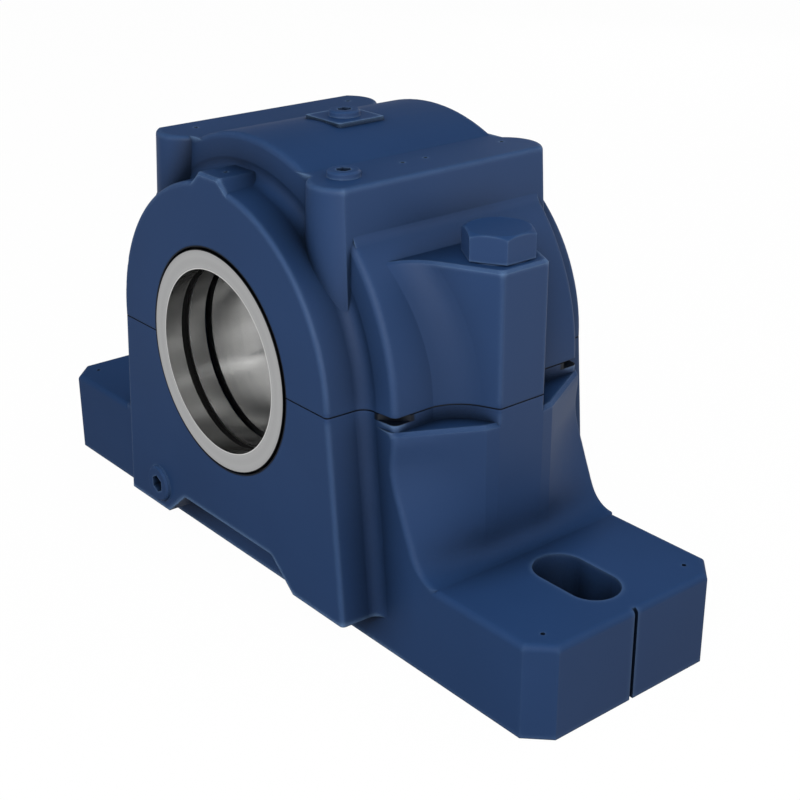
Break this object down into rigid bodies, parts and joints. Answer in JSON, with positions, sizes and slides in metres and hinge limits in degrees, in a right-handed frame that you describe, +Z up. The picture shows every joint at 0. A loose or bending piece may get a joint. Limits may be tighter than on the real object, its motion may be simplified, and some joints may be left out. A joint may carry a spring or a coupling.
{
  "type": "split plummer block",
  "caption": "Split cast bearing housing: footed base and flat-topped cap bolted round a self-aligning roller bearing on an adapter sleeve, with a labyrinth seal ring at each end.",
  "frame": {"origin": "on the mounting face, straight below the middle of the shaft", "axes": "+X foot to foot, towards the foot that is near the viewer on the right of the picture; +Y along the shaft, from the front seal ring to the rear one; +Z up"},
  "size_m": [0.3874, 0.156, 0.2203],
  "materials": {
    "painted_casting": "satin dark blue paint over cast iron",
    "painted_steel": "satin dark blue paint over steel",
    "bearing_steel": "ground bearing steel",
    "cage_steel": "pressed sheet steel",
    "sleeve_steel": "turned steel",
    "seal_steel": "matt turned steel",
    "seal_rubber": "matt black"
  },
  "bodies": {
    "housing": {"housing_base": "painted_casting", "housing_cap": "painted_casting", "cap_bolt_right": "painted_steel", "cap_bolt_left": "painted_steel", "dowel_pin_right": "bearing_steel", "dowel_pin_left": "bearing_steel", "top_grease_plug": "painted_steel", "side_grease_plug": "painted_steel", "drain_plug_front": "painted_steel", "drain_plug_rear": "painted_steel", "outer_ring": "bearing_steel", "locating_ring_front": "bearing_steel", "locating_ring_rear": "bearing_steel"},
    "aligner": {"guide_ring": "bearing_steel"},
    "shaft_set": {"inner_ring": "bearing_steel", "adapter_sleeve": "sleeve_steel", "lock_washer": "cage_steel", "lock_nut": "sleeve_steel", "seal_ring_front": "seal_steel", "seal_ring_rear": "seal_steel", "oring_front": "seal_rubber", "oring_rear": "seal_rubber"},
    "roller_set": {"rollers_front": "bearing_steel", "rollers_rear": "bearing_steel", "cage_front": "cage_steel", "cage_rear": "cage_steel"}
  },
  "joints": [
    {"name": "self_align", "type": "hinge", "parent": "housing", "child": "aligner", "pos_m": [0, 0, 0.1143], "axis": [1, 0, 0], "range_deg": [-0.4, 0.4]},
    {"name": "shaft_spin", "type": "hinge", "parent": "aligner", "child": "shaft_set", "pos_m": [0, 0, 0.1143], "axis": [0, 1, 0], "continuous": true},
    {"name": "roller_orbit", "type": "hinge", "parent": "aligner", "child": "roller_set", "pos_m": [0, 0, 0.1143], "axis": [0, 1, 0], "continuous": true}
  ],
  "couplings": [
    {"joint": "roller_orbit", "follows": "shaft_spin", "ratio": 0.4289}
  ]
}
